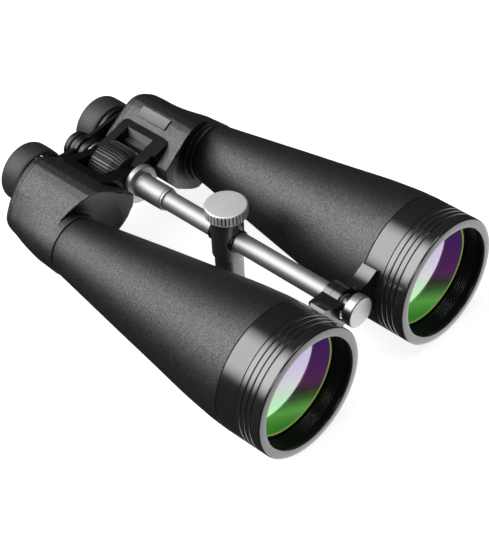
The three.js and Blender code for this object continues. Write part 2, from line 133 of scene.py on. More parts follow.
def turned(name, profile, x=0.0, z=None, steps=96, ease=0.15, upright=False, closed=True):
    # profile as (radius, distance along the axis); upright pieces stand at the post
    if upright:
        points = [Vector(((x + r) * mm, rimY + postY * mm, t * mm)) for r, t in profile]
        pivot, axis = at(x, postY, 0), (0, 0, 1)
    else:
        points = [at(x + r, t, z) for r, t in profile]
        pivot, axis = at(x, 0, z), (0, 1, 0)
    piece = drawn(name, points, closed)
    bpy.ops.mesh.spin(steps=steps, angle=2 * math.pi, center=pivot, axis=axis)
    bpy.ops.mesh.select_all(action="SELECT")
    bpy.ops.mesh.remove_doubles(threshold=2e-6)
    bpy.ops.mesh.normals_make_consistent(inside=False)
    if ease:
        easeSharp(ease)
    return smooth(settle(piece))


def rodProfile(points):
    # closes a solid turned shape on its axis
    return [(0, points[0][1]), *points, (0, points[-1][1])]


def slab(name, points, push):
    # flat outline pushed into a solid
    piece = drawn(name, points)
    bpy.ops.mesh.remove_doubles(threshold=2e-6)
    bpy.ops.mesh.select_all(action="SELECT")
    bpy.ops.mesh.edge_face_add()
    bpy.ops.mesh.extrude_region_move(TRANSFORM_OT_translate={"value": push})
    bpy.ops.mesh.select_all(action="SELECT")
    bpy.ops.mesh.normals_make_consistent(inside=False)
    return settle(piece)


def plate(name, outline, y0, y1):
    return slab(name, [at(x, y0, z) for x, z in outline], Vector((0, (y1 - y0) * mm, 0)))


def disc(radius, y0, y1, x=0.0, z=None, verts=96):
    bpy.ops.mesh.primitive_cylinder_add(vertices=verts, radius=radius * mm, depth=(y1 - y0) * mm,
                                        location=at(x, (y0 + y1) / 2, z), rotation=(math.pi / 2, 0, 0))
    piece = bpy.context.object
    bpy.ops.object.transform_apply(location=True, rotation=True, scale=True)
    return piece


def brick(x0, x1, y0, y1, z0, z1):
    bpy.ops.mesh.primitive_cube_add(size=1, location=at((x0 + x1) / 2, (y0 + y1) / 2, (z0 + z1) / 2),
                                    scale=((x1 - x0) * mm, (y1 - y0) * mm, (z1 - z0) * mm))
    piece = bpy.context.object
    bpy.ops.object.transform_apply(location=True, rotation=True, scale=True)
    return piece


def applied(piece, kind, **settings):
    modifier = piece.modifiers.new(kind.lower(), kind)
    for key, value in settings.items():
        setattr(modifier, key, value)
    only(piece)
    bpy.ops.object.modifier_apply(modifier=modifier.name)
    return piece


def joinOn(piece, *tools, cut=False):
    for tool in tools:
        applied(piece, "BOOLEAN", object=tool, operation="DIFFERENCE" if cut else "UNION", solver="EXACT")
        bpy.data.objects.remove(tool)
    return piece


def cutFrom(piece, *tools):
    return joinOn(piece, *tools, cut=True)


def eased(piece, width, segments=2, angle=30):
    applied(piece, "BEVEL", width=width * mm, segments=segments, limit_method="ANGLE",
            angle_limit=math.radians(angle), profile=0.6)
    only(piece)
    bpy.ops.object.mode_set(mode="EDIT")
    bpy.ops.mesh.select_all(action="SELECT")
    bpy.ops.mesh.dissolve_degenerate(threshold=2e-6)
    bpy.ops.object.mode_set(mode="OBJECT")
    return smooth(piece)


def twin(piece, name, sides=-1):
    # a copy with its own mesh, mirrored across the centre plane
    copy = piece.copy()
    copy.data = piece.data.copy()
    copy.name = copy.data.name = name
    bpy.context.scene.collection.objects.link(copy)
    copy.scale.x = sides
    only(copy)
    bpy.ops.object.transform_apply(location=False, rotation=False, scale=True)
    return faceOut(copy)


def arc(cx, cz, radius, start, end, count):
    return [(cx + radius * math.cos(math.radians(start + (end - start) * i / count)),
             cz + radius * math.sin(math.radians(start + (end - start) * i / count))) for i in range(count + 1)]


def bend(a, b, c, count):
    # curve from a to c that leans towards b
    return [((1 - t) ** 2 * a[0] + 2 * t * (1 - t) * b[0] + t * t * c[0],
             (1 - t) ** 2 * a[1] + 2 * t * (1 - t) * b[1] + t * t * c[1])
            for t in (i / count for i in range(count + 1))]


def flowing(points, per):
    # smooth run through the points
    ends = [points[0], *points, points[-1]]
    run = []
    for i in range(1, len(points)):
        a, b, c, d = ends[i - 1:i + 3]
        for k in range(per):
            t = k / per
            run.append(tuple(0.5 * (2 * q + (r - p) * t + (2 * p - 5 * q + 4 * r - s) * t * t
                                    + (3 * q - p - 3 * r + s) * t ** 3) for p, q, r, s in zip(a, b, c, d)))
    return run + [points[-1]]


def hull(points):
    ordered = sorted(points)

    def side(run):
        kept = []
        for q in run:
            while len(kept) > 1 and ((kept[-1][0] - kept[-2][0]) * (q[1] - kept[-2][1])
                                     - (kept[-1][1] - kept[-2][1]) * (q[0] - kept[-2][0])) <= 1e-9:
                kept.pop()
            kept.append(q)
        return kept[:-1]

    return side(ordered) + side(ordered[::-1])


def sinkSlot(piece):
    # edit mode: the selected faces take the second finish
    for _ in range(2):
        piece.data.materials.append(None)
    piece.active_material_index = 1
    bpy.ops.object.material_slot_assign()
    bpy.ops.mesh.select_mode(type="VERT")
    bpy.ops.object.mode_set(mode="OBJECT")


def secondFinish(piece, belongs):
    # faces that take the piece's second finish
    for _ in range(2):
        piece.data.materials.append(None)
    for face in piece.data.polygons:
        if belongs(face.center, face.normal):
            face.material_index = 1
    return piece


made = []  # (piece, body, CAD nodes it stands for, slot, finish)


def keep(piece, body, nodes, slot, finish):
    made.append((piece, body, nodes, slot, finish))
    return piece


def bothSides(piece, stem, node, slot, finish, body="{}_half"):
    piece.name = piece.data.name = stem + "_left"
    keep(piece, body.format("left"), [node + "_left"], slot, finish)
    return keep(twin(piece, stem + "_right"), body.format("right"), [node + "_right"], slot, finish)


# barrels
barrel = {
    "outside": [(46.6, 37.5), (46.1, 48), (45.1, 58), (43.0, 76), (37.8, 110), (32.8, 144), (27.3, 180), (21.9, 215.7)],
    "inside": [(18.9, 215.7), (18.9, 221.5), (16.9, 221.5), (16.9, 212), (42.4, 62), (43.6, 40), (43.6, 21.3),
               (44.8, 21.3), (44.8, 37.5)],
    "steps": 160,
}
tube = turned("barrelTube", flowing(barrel["outside"], 5) + barrel["inside"], barrelX, barrelZ,
              barrel["steps"], ease=0.25)
bothSides(tube, "barrelTube", "barrel", "barrel", "pebbled")
print("barrels")

# objective ends
rim = {
    "radius": 46.7,
    "grooves": [8.3, 12.5, 16.7],
    "grooveHalf": 0.55,
    "grooveDepth": 1.0,
    "threads": [7.6, 9.1, 10.6, 12.1, 13.6],
    "threadDepth": 0.45,
    "bore": (40.9, 41.4),  # between the thread crests, dull black
}
ring = [(40.2, 0.5), (40.6, 0.1), (45.0, 0), (46.0, 0.35), (46.6, 1.1), (rim["radius"], 2)]
for y in rim["grooves"]:
    ring += [(rim["radius"], y - rim["grooveHalf"]), (rim["radius"] - rim["grooveDepth"], y - 0.12),
             (rim["radius"] - rim["grooveDepth"], y + 0.12), (rim["radius"], y + rim["grooveHalf"])]
ring += [(rim["radius"], 20.8), (43.6, 20.8), (43.6, 15.6), (40.9, 15.6), (40.9, 14.9)]
for y in reversed(rim["threads"]):
    ring += [(41.2, y + 0.55), (41.2 - rim["threadDepth"], y + 0.1), (41.2 - rim["threadDepth"], y - 0.1),
             (41.2, y - 0.55)]
ring += [(41.2, 2.4), (40.2, 1.8)]
ringPiece = turned("objectiveRing", ring, barrelX, barrelZ, 160, ease=0.09)
secondFinish(ringPiece, lambda c, n: rim["bore"][0] < math.hypot(c.x / mm - barrelX, c.z / mm - barrelZ) < rim["bore"][1])
bothSides(ringPiece, "objectiveRing", "objective_ring", "objective_ring", ("ringBlack", "innerBlack"))

cell = [(39.1, 16.6), (39.3, 16.2), (40.2, 16), (43.3, 16), (43.3, 34), (42, 34), (42, 17.5), (40.6, 17.2),
        (39.3, 17.0)]
bothSides(turned("objectiveCell", cell, barrelX, barrelZ, 128, ease=0.08), "objectiveCell", "objective_cell",
          "cell", "innerBlack")
lock = [(39.6, 29.7), (41.7, 29.7), (41.7, 32.6), (40.8, 32.6), (40.6, 31.6), (39.8, 31.6), (39.6, 32.6)]
bothSides(turned("objectiveRetainer", lock, barrelX, barrelZ, 96, ease=0.1), "objectiveRetainer",
          "objective_retainer", "cell", "innerBlack")


def lens(name, front, frontSag, back, backSag, radius, x, z, steps=96, rise=9):
    def face(y, sag):
        return [(radius * i / rise, y + sag * (i / rise) ** 2) for i in range(rise + 1)]
    return turned(name, face(front, frontSag) + face(back, backSag)[::-1], x, z, steps, ease=0.12)


bothSides(lens("crownLens", 16.2, 1.4, 24.6, -2.2, 41.6, barrelX, barrelZ, 128), "crownLens", "objective_crown",
          "coated_glass", "coatedFront")
bothSides(lens("flintLens", 25, -2.2, 28.6, 0.6, 41.6, barrelX, barrelZ, 128), "flintLens", "objective_flint",
          "flint_glass", "coatedDeep")
print("objectives")

# collars and the front bridge
collar = {
    "band": [(45.1, 21.1), (46.3, 21.1), (46.7, 21.5), (46.7, 36.7), (46.3, 37.2), (45.1, 37.2)],
    "armY": (25.5, 37.1),
    "lugRadius": 10.6,
    "lugY": {"left": (30.8, 37.1), "right": (37.4, 43.6)},
    "ease": 0.5,
}
armOutline = (bend((3, hingeZ + 8.6), (15, hingeZ + 6.5), (25.2, hingeZ + 14.2), 12)
              + [(29, hingeZ + 11), (25.5, 36)] + bend((25.5, 36), (14, 42), (4, hingeZ - 9.6), 10)[1:])
for side, sign in (("left", 1), ("right", -1)):
    lugFrom, lugTo = collar["lugY"][side]
    hub = plate("bridgeCollar_" + side, [(sign * x, z) for x, z in armOutline], *collar["armY"])
    joinOn(hub, disc(collar["lugRadius"], lugFrom, lugTo, 0, hingeZ, 72))
    if side == "right":
        step = brick(-20.4, -3, 36, lugTo, hingeZ - 9, hingeZ + 7.9)
        joinOn(hub, cutFrom(step, disc(47.4, 30, 50, -barrelX, barrelZ, 128)))
        cutFrom(hub, disc(11, 20, lugFrom, 0, hingeZ, 72))
    else:
        cutFrom(hub, disc(12.6, 20, lugFrom, 0, hingeZ, 72), disc(11, lugTo, 60, 0, hingeZ, 72))
    joinOn(hub, turned("band", collar["band"], sign * barrelX, barrelZ, 160, ease=0))
    cutFrom(hub, disc(45.1, 10, 60, sign * barrelX, barrelZ, 160), disc(7.3, 20, 60, 0, hingeZ, 64))
    eased(hub, collar["ease"], 3)
    keep(hub, side + "_half", ["bridge_collar_" + side], "collar", "satinBlack")
print("front bridge")

# prism housings
housing = {
    "crest": [(15.5, 64), (18, 66.2), (27.8, 72.6), (36.4, 78.7), (41, 81.4), (46, 83), (52, 82.6), (57.9, 80.2),
              (64.5, 76), (70.2, 70.2), (76.7, 60.8), (80.2, 51.9)],
    "underside": [(62, 21.5), (55, 21), (48, 24), (40, 29.5), (29.5, 38), (23.8, 45.2), (19.9, 50.4), (16.6, 55.6)],
    "shoulder": [(205, 23.2), (216, 22.7), (225, 22.1), (235, 21.6), (245, 20), (255, 17.9), (264, 15.3), (275, 13.6)],
    "levels": [204, 210, 216, 222, 228, 235, 242, 249, 256, 262, 268, 271.2, 273.4, 274.6, 275],
    "rearEase": {271.2: 0.3, 273.4: 0.9, 274.6: 1.8, 275: 3},
    "voxel": 0.62,
    "softening": 4,
    "seam": 269,
    "seamGap": 0.3,
    "wall": 2.6,
    "rays": 144,
    "shadedBelow": -0.62,
}
neck = 22.7


def shoulderAt(y):
    run = housing["shoulder"]
    for (y0, r0), (y1, r1) in zip(run, run[1:]):
        if y <= y1:
            return r0 + (r1 - r0) * (y - y0) / (y1 - y0)
    return run[-1][1]


def housingRadii(y, inset):
    # distance from the middle of the housing to its outline, ray by ray
    outline = hull(housing["crest"] + housing["underside"] + arc(barrelX, barrelZ, shoulderAt(y), 0, 355, 71))
    count, radii = housing["rays"], []
    for i in range(count):
        dx, dz = math.cos(2 * math.pi * i / count), math.sin(2 * math.pi * i / count)
        far = 0
        for (ax, az), (bx, bz) in zip(outline, outline[1:] + outline[:1]):
            ex, ez = bx - ax, bz - az
            det = ex * dz - ez * dx
            if abs(det) < 1e-9:
                continue
            t = (ex * (az - 50) - ez * (ax - 52)) / det
            u = (dx * (az - 50) - dz * (ax - 52)) / det
            if t > 0 and -1e-9 <= u <= 1 + 1e-9:
                far = max(far, t)
        radii.append(far - inset)
    return radii


def loft(name, levels):
    # a ring of points pushed from level to level, each ring pulled to its own outline
    count = housing["rays"]
    bpy.ops.mesh.primitive_circle_add(vertices=count, radius=mm, location=at(52, levels[0][0], 50),
                                      rotation=(math.pi / 2, 0, 0))
    piece = bpy.context.object
    piece.name = piece.data.name = name
    bpy.ops.object.transform_apply(location=True, rotation=True, scale=True)
    bpy.ops.object.mode_set(mode="EDIT")
    bpy.ops.mesh.select_all(action="SELECT")
    lastY = levels[0][0]
    for y, radii in levels:
        if y != lastY:
            bpy.ops.mesh.extrude_region_move(TRANSFORM_OT_translate={"value": (0, (y - lastY) * mm, 0)})
        shell = bmesh.from_edit_mesh(piece.data)
        for vert in shell.verts:
            if vert.select:
                angle = math.atan2(vert.co.z - 50 * mm, vert.co.x - 52 * mm)
                far = radii[round(angle / (2 * math.pi) * count) % count] * mm
                vert.co.x, vert.co.z = 52 * mm + far * math.cos(angle), 50 * mm + far * math.sin(angle)
        bmesh.update_edit_mesh(piece.data)
        lastY = y
    bpy.ops.mesh.edge_face_add()
    bpy.ops.mesh.select_all(action="DESELECT")
    bpy.ops.mesh.select_non_manifold()
    bpy.ops.mesh.edge_face_add()
    bpy.ops.mesh.select_all(action="SELECT")
    bpy.ops.mesh.normals_make_consistent(inside=False)
    return settle(piece)


def scoop(shift):
    # the space in front of the housing: a dish round the barrel and a leaning lower corner
    inner = neck + 0.1 - shift
    dishLine = [(120, 190), (120, 210 + shift), (56, 210.3 + shift), (46, 211 + shift), (42, 212.3 + shift),
                (36, 215.8 + shift), (28, 220 + shift), (inner, 222.3 + shift), (inner, 216 + shift)]
    dish = turned("dish", rodProfile(dishLine), barrelX, barrelZ, 128, ease=0)
    lean = math.radians(21)
    top = [(80, 211 + shift + a * math.cos(lean) + b * math.sin(lean),
            62 - a * math.sin(lean) + b * math.cos(lean)) for a, b in ((-60, -62), (-60, 0), (0, 0), (0, -62))]
    wedge = slab("wedge", [at(*p) for p in top], Vector((-120 * mm, 0, 0)))
    cutFrom(wedge, disc(neck + 1.4 - shift, 150, 280, barrelX, barrelZ, 128))
    return joinOn(dish, wedge)


def wheelBay(grow):
    side = [(-30, 44), (19.5 + grow, 44), (20.6 + grow, 64), (25.9 + grow, 76.5), (25.9 + grow, 100), (-30, 100)]
    bay = plate("bay", side, 231.2 - grow, 259.4 + grow)
    return joinOn(bay, disc(20.2 + grow, 231.2 - grow - 0.01, 259.4 + grow + 0.01, 0, hingeZ, 96))


slope = math.radians(15)
frameTop = 77 - 32 * math.tan(slope)  # height of the bracket's top face over the hinge


def leaning(x, y, drop):
    return at(x * math.cos(slope) + drop * math.sin(slope), y,
              frameTop + x * math.sin(slope) - drop * math.cos(slope))


def bracketBlank(grow, edge=8):
    x1, y0, y1 = 32.4 + grow, 221 - grow, 265.6 + grow
    outline = ([(-4, y0)] + bend((x1 - 8, y0), (x1, y0), (x1, y0 + 6), 6)
               + bend((x1, y1 - 4), (x1, y1), (x1 - 4, y1), 6) + [(-4, y1)])
    blank = slab("blank", [leaning(x, y, -grow) for x, y in outline],
                 Vector((math.sin(slope), 0, -math.cos(slope))) * (15 + 2 * grow) * mm)
    low = 68.7 - grow
    under = [(15 + grow, 0), (90, 0), (90, low + 58 * math.tan(slope)), (15 + grow, low - 17 * math.tan(slope))]
    return cutFrom(blank, plate("under", under, 200, 290))


levels = [(y, housingRadii(y, housing["rearEase"].get(y, 0))) for y in housing["levels"]]
body = cutFrom(loft("housingBody", levels), scoop(0))
applied(body, "REMESH", mode="VOXEL", voxel_size=housing["voxel"] * mm)
applied(body, "SMOOTH", factor=0.5, iterations=housing["softening"])
print("housing blank", len(body.data.polygons))
hollow = loft("hollow", [(y, housingRadii(y, housing["wall"])) for y in (206, 235, 255, housing["seam"] + 0.01)])
cutFrom(hollow, scoop(2.6), wheelBay(2.4), bracketBlank(2.2))
joinOn(hollow, disc(19.2, 200, 236, barrelX, barrelZ, 96))
cutFrom(body, hollow, wheelBay(0), bracketBlank(0.3), disc(14.2, 261.2, 272, eyeX, eyeZ, 96))


def sawn(piece, name, y, keepFront):
    # the part of a copy that lies in front of or behind y, closed where it was cut
    part = twin(piece, name, 1)
    only(part)
    bpy.ops.object.mode_set(mode="EDIT")
    bpy.ops.mesh.select_all(action="SELECT")
    bpy.ops.mesh.bisect(plane_co=at(0, y, 0), plane_no=(0, 1, 0), use_fill=True,
                        clear_inner=not keepFront, clear_outer=keepFront)
    bpy.ops.object.mode_set(mode="OBJECT")
    return part


cover = sawn(body, "cover", housing["seam"] + housing["seamGap"], False)
shell = sawn(body, "shell", housing["seam"] - 0.01, True)
bpy.data.objects.remove(body)
joinOn(cover, disc(18.2, 269.3, 275, eyeX, eyeZ, 96))
cutFrom(cover, disc(15.2, 260, 280, eyeX, eyeZ, 96), disc(13.2, 260, 280, 0, hingeZ, 96))
# faces turned hard towards the front take a darker copy of the grain finish: painted shade
secondFinish(shell, lambda c, n: n.y < housing["shadedBelow"])
bothSides(smooth(shell, 40), "prismHousing", "prism_housing", "housing", ("pebbled", "pebbledDeep"))
bothSides(smooth(cover, 40), "rearCover", "rear_cover", "cover", "pebbled")
print("housings", len(shell.data.polygons), len(cover.data.polygons))

# hinge brackets
bracket = {
    "front": {"left": (223.6, 228), "right": (228.3, 232.7)},
    "back": {"left": (262.1, 265.9), "right": (257.9, 261.8)},
    "clear": {"left": [(200, 223.5), (228.1, 262), (266, 290)], "right": [(200, 228.2), (232.8, 257.8), (261.9, 290)]},
    "window": (232.6, 258),
    "windowX": 25.7,
    "wallX": (25.3, 26.0),
    "ease": 0.55,
}


def inWindow(spot, normal):
    # outer wall of the opening round the wheel; it takes a lighter grey finish, a painted reflection of the key light
    y = (spot.y - rimY) / mm
    return bracket["wallX"][0] < spot.x / mm < bracket["wallX"][1] and w0 - 0.2 < y < w1 + 0.2


w0, w1 = bracket["window"]
for side, sign in (("left", 1), ("right", -1)):
    piece = bracketBlank(0)
    cutFrom(piece, brick(-30, bracket["windowX"], w0, w1, 0, 120), brick(-20, 15.4, 200, 223.4, 0, 120),
            brick(-2, 88, 200, 280, 0, 59))
    for a, b in (bracket["front"][side], bracket["back"][side]):
        joinOn(piece, disc(10, a, b, 0, hingeZ, 72))
    for a, b in bracket["clear"][side]:
        cutFrom(piece, disc(10.4, a, b, 0, hingeZ, 72))
    cutFrom(piece, cutFrom(brick(-30, 1.2, 200, 290, 0, 120), disc(10, 190, 300, 0, hingeZ, 72)),
            disc(6.4, 200, 290, 0, hingeZ, 72))
    eased(piece, bracket["ease"], 2)
    secondFinish(piece, inWindow)
    if sign < 0:
        whole = twin(piece, "hingeBracket_right")
        bpy.data.objects.remove(piece)
        piece = whole
    piece.name = piece.data.name = "hingeBracket_" + side
    keep(piece, side + "_half", ["hinge_bracket_" + side], "bracket", ("glossBlack", "pocketGrey"))
print("brackets")

# eyepieces
eyepiece = {
    "guide": [(13.5, 269.6), (14.9, 269.6), (14.9, 275.3), (17.6, 275.3), (17.6, 275.9), (13.5, 275.9)],
    "tube": [(11.4, 264), (13.2, 264), (13.2, 286.8), (19, 286.8), (19, 293.2), (14, 293.2), (14, 296.2),
             (12.2, 297.0), (10.4, 296.2), (10.4, 295.2), (11.4, 295.2)],
    "cup": [(19.3, 287.1), (21.2, 287.1), (21.9, 287.6), (22.5, 289), (22.7, 292), (22.8, 297), (22.8, 301.5),
            (22.6, 303.2), (22.1, 304.4), (21.5, 304.9), (21.0, 304.7), (20.7, 304), (20.2, 297), (19.2, 295.4),
            (14.3, 294.6), (14.3, 293.5), (19.3, 293.5)],
    "dioptre": [(13.5, 281.9), (21.2, 281.9), (21.6, 282.4), (21.6, 286.1), (21.2, 286.5), (13.5, 286.5)],
    "collar": [(13.5, 283.8), (20.6, 283.8), (20.6, 286.5), (13.5, 286.5)],
}
bothSides(turned("eyepieceGuide", eyepiece["guide"], eyeX, eyeZ, 72, 0.1), "eyepieceGuide", "eyepiece_guide",
          "guide", "satinDark")
for stem, node, profile, slotName, look, ease in (("ocularTube", "ocular_tube", "tube", "guide", "satinDark", 0.15),
                                                  ("eyecup", "eyecup", "cup", "eyecup_rubber", "rubber", 0.2)):
    left = turned(stem, eyepiece[profile], eyeX, eyeZ, 96, ease)
    right = twin(left, stem + "_right")
    left.name = left.data.name = ("eyecupRubber" if stem == "eyecup" else stem) + "_left"
    right.name = right.data.name = ("eyecupRubber" if stem == "eyecup" else stem) + "_right"
    keep(left, "left_eyepiece", [node + "_left"], slotName, look)
    keep(right, "right_eyepiece", [node + "_right"], slotName, look)
for stem, node, args in (("fieldLens", "field_lens", (264.8, 1.2, 269.4, -0.4)),
                         ("eyeLens", "eye_lens", (287.8, 0.4, 294.9, -1.2))):
    bothSides(lens(stem, *args, 11.1, eyeX, eyeZ, 64, 6), stem, node, "eye_glass", "eyeCoating",
              body="{}_eyepiece")

dioptre = turned("dioptreScale", eyepiece["dioptre"], -eyeX, eyeZ, 180, 0.12)
only(dioptre)
bpy.ops.object.mode_set(mode="EDIT")
bpy.ops.mesh.select_mode(type="FACE")
bpy.ops.mesh.select_all(action="DESELECT")
band = bmesh.from_edit_mesh(dioptre.data)
for face in band.faces:
    spot = face.calc_center_median()
    dx, dz = spot.x / mm + eyeX, spot.z / mm - eyeZ
    turn = math.degrees(math.atan2(dz, dx)) % 360
    tick = 84 <= turn <= 216 and (turn + 1) % 12 < 2
    if math.hypot(dx, dz) > 21.5 and tick and 282.6 < (spot.y - rimY) / mm < 285.9:
        face.select = True
bmesh.update_edit_mesh(dioptre.data)
bpy.ops.mesh.extrude_region_shrink_fatten(TRANSFORM_OT_shrink_fatten={"value": -0.12 * mm})
sinkSlot(dioptre)
keep(smooth(dioptre), "dioptre", ["dioptre_ring"], "dioptre", ("satinDark", "tickWhite"))
keep(turned("eyepieceCollar", eyepiece["collar"], eyeX, eyeZ, 96, 0.2), "left_eyepiece", ["eyepiece_collar_left"],
     "dioptre", "satinDark")

bridge = {"left": (280.6, 283.4), "right": (277.4, 280.3), "ease": 0.45}
for side, sign, body in (("left", 1, "left_eyepiece"), ("right", -1, "right_carrier")):
    y0, y1 = bridge[side]
    outline = hull(arc(sign * eyeX, eyeZ, 18.9, 0, 357, 119) + arc(sign * 6, hingeZ - 0.5, 7.5, 0, 350, 35))
    arm = joinOn(plate("bridgeArm_plate_" + side, outline, y0, y1), disc(11, y0 - 0.01, y1 + 0.01, 0, hingeZ, 72))
    cutFrom(arm, disc(13.5, 270, 290, sign * eyeX, eyeZ, 96), disc(5.3, 270, 290, 0, hingeZ, 48))
    keep(eased(arm, bridge["ease"], 2), body, ["bridge_arm_" + side], "arm", "satinDark")
print("eyepieces")

# centre bar and focusing
centre = {
    "bar": [(0, 41), (3.9, 41), (3.9, 30.4), (6.2, 30.4), (7, 31.2), (7, 222.4), (4.2, 222.4), (4.2, 231), (0, 231)],
    "sleeve": [(7.3, 192.3), (8.0, 192.3), (8.2, 192.6), (8.2, 194.2), (8.65, 194.6), (8.65, 217.0), (8.9, 217.9),
               (9.6, 218.6), (13.6, 218.6), (14.2, 218.9), (14.4, 219.5), (14.4, 222.4), (14.0, 223.1), (7.3, 223.1)],
    "axle": [(4.6, 223.4), (6.1, 223.4), (6.1, 268.6), (4.6, 268.6)],
    "washer": [(6.4, 266.3), (11.0, 266.3), (11.4, 266.7), (11.4, 267.9), (11.0, 268.3), (6.4, 268.3)],
    "wheel": [(6.4, 233.2), (14.7, 233.2), (15.1, 233.5), (17.5, 238.4), (18.0, 240), (18.1, 246), (18.0, 255.4),
              (17.7, 256.5), (17.0, 257.2), (6.4, 257.2)],
    "rod": [(3.6, 244), (4.2, 244.8), (4.2, 276.2), (3.2, 276.2), (3.2, 283.6)],
    "spacer": [(4.5, 270.4), (8.4, 270.4), (10.0, 271.1), (10.4, 271.9), (10.4, 275.4), (10.0, 275.9), (4.5, 275.9)],
    "hub": [(3.5, 276.6), (5, 276.6), (5, 284), (10.9, 284), (11.6, 284.4), (11.9, 285.2), (11.9, 287.0),
            (11.6, 288.2), (10.6, 289.4), (9, 290.2), (7, 290.6), (0, 290.6), (0, 283.9), (3.5, 283.9)],
    "knob": [(9.8, 16.6), (10.7, 16.8), (11.2, 17.4), (11.3, 18.2), (11.3, 23.2), (10.9, 24), (6.4, 24), (6, 24.4),
             (6, 30), (3.5, 30), (3.5, 40)],
}


def ribbed(piece, ringOf, isGroove, depth):
    # sinks the faces between the ribs; they take the second finish, a darker one that is painted shade in the grooves
    only(piece)
    bpy.ops.object.mode_set(mode="EDIT")
    bpy.ops.mesh.select_mode(type="FACE")
    bpy.ops.mesh.select_all(action="DESELECT")
    cage = bmesh.from_edit_mesh(piece.data)
    for face in cage.faces:
        radius, turn, along = ringOf(face.calc_center_median())
        face.select = isGroove(radius, turn, along)
    bmesh.update_edit_mesh(piece.data)
    bpy.ops.mesh.extrude_region_shrink_fatten(TRANSFORM_OT_shrink_fatten={"value": -depth * mm})
    sinkSlot(piece)
    return smooth(piece, 25)


def roundBar(spot):
    dx, dz = spot.x / mm, spot.z / mm - hingeZ
    return math.hypot(dx, dz), math.degrees(math.atan2(dz, dx)) % 360, (spot.y - rimY) / mm


def roundPost(spot):
    dx, dy = spot.x / mm, (spot.y - rimY) / mm - postY
    return math.hypot(dx, dy), math.degrees(math.atan2(dy, dx)) % 360, spot.z / mm


keep(turned("centreBar", centre["bar"], 0, hingeZ, 96, 0.12), "spine", ["centre_bar"], "bar_metal", "brushedBar")
keep(turned("barSleeve", centre["sleeve"], 0, hingeZ, 128, 0.12), "spine", ["bar_sleeve"], "bar_metal", "brushedBar")
keep(turned("hingeAxle", centre["axle"], 0, hingeZ, 64, 0.1), "spine", ["hinge_axle"], "axle", "satinBlack")
keep(turned("axleWasher", centre["washer"], 0, hingeZ, 96, 0.1), "spine", ["axle_washer"], "axle", "turnedSilver")
wheel = turned("focusWheel", centre["wheel"], 0, hingeZ, 240, 0)
ribbed(wheel, roundBar, lambda r, turn, y: r > 14.9 and 233.3 < y < 257
       and ((turn + 6) % 45 > 37.5 or (turn + 6) % 7.5 > 3), 1.0)
keep(wheel, "focus_wheel", ["focus_wheel"], "wheel", ("wheelGrey", "grooveBlack"))
keep(turned("focusRod", rodProfile(centre["rod"]), 0, hingeZ, 48, 0.1), "focus_hub", ["focus_rod"], "rod_steel",
     "steel")
keep(turned("hubSpacer", centre["spacer"], 0, hingeZ, 96, 0.1), "focus_hub", ["hub_spacer"], "arm", "satinDark")
keep(turned("bridgeHub", centre["hub"], 0, hingeZ, 96, 0.1), "focus_hub", ["bridge_hub"], "arm", "satinDark")
keep(turned("frontKnob", rodProfile(centre["knob"]), 0, hingeZ, 128, 0.12), "front_knob", ["front_knob"],
     "knob_metal", "turnedSilver")
print("centre line")

# badge: a plain framed plate
badge = {"size": (8.2, 27.6, 0.7), "centre": (39.6, 244.8, 81.2), "lean": 27.5, "border": 0.6}
bpy.ops.mesh.primitive_cube_add(size=1)
plateBadge = bpy.context.object
plateBadge.name = plateBadge.data.name = "badgePlate"
bpy.ops.object.mode_set(mode="EDIT")
bpy.ops.transform.resize(value=[s * mm for s in badge["size"]])
bpy.ops.mesh.select_mode(type="FACE")
bpy.ops.mesh.select_all(action="DESELECT")
cage = bmesh.from_edit_mesh(plateBadge.data)
for face in cage.faces:
    face.select = face.normal.z > 0.9
bmesh.update_edit_mesh(plateBadge.data)
bpy.ops.mesh.inset(thickness=badge["border"] * mm, depth=-0.18 * mm)
bpy.ops.mesh.select_mode(type="VERT")
bpy.ops.mesh.select_all(action="SELECT")
bpy.ops.object.mode_set(mode="OBJECT")
tilt = math.radians(-badge["lean"])
plateBadge.matrix_world = (Matrix.Translation(at(*badge["centre"])) @ Matrix.Rotation(tilt, 4, "Y")
                           @ Matrix.Translation((0, 0, badge["size"][2] / 2 * mm)))
only(plateBadge)
bpy.ops.object.transform_apply(location=True, rotation=True, scale=True)
keep(eased(plateBadge, 0.12, 2), "left_half", ["badge_plate"], "badge", "badgeMetal")

# tripod post
post = {
    "outline": [(0, 13), (2.7, 13), (2.7, 1), (3.3, 0.4), (3.3, 0), (9.2, 0), (9.9, 0.7), (10, 1.2), (10, 42.4),
                (10.6, 42.8), (11.3, 43.3), (11.45, 43.9), (11.45, 75.3), (11.0, 76), (3.5, 76), (3.5, 60), (0, 60)],
    "flat": 8.9,
    "flatZ": (3, 39),
    "bore": 8.5,
    "ease": 0.3,
    "knob": [(3.1, 69.6), (3.1, 76.4), (12.9, 76.4), (14.6, 77.0), (15.0, 77.6), (15.0, 83.9), (14.6, 84.7),
             (13.9, 85.2), (3, 85.25)],
    "ribs": 36,
    "ribDepth": 0.75,
}
stand = turned("tripodPost", post["outline"], 0, None, 96, 0, upright=True)
z0, z1 = post["flatZ"]
cutFrom(stand, brick(-20, 20, postY - 20, postY - post["flat"], z0, z1),
        brick(-20, 20, postY + post["flat"], postY + 20, z0, z1),
        disc(post["bore"], postY - 20, postY + 20, 0, hingeZ, 96))
keep(eased(stand, post["ease"], 2), "post", ["tripod_post"], "post", "postBlack")
knob = turned("lockKnob", rodProfile(post["knob"]), 0, None, post["ribs"] * 5, 0.1, upright=True)
pitch = 360 / post["ribs"]
ribbed(knob, roundPost, lambda r, turn, z: r > 14.4 and 77.2 < z < 84.3 and turn % pitch < pitch * 0.4,
       post["ribDepth"])
keep(knob, "lock_knob", ["lock_knob"], "knob_metal", ("knurledSilver", "grooveSilver"))
print("post")

# finishes

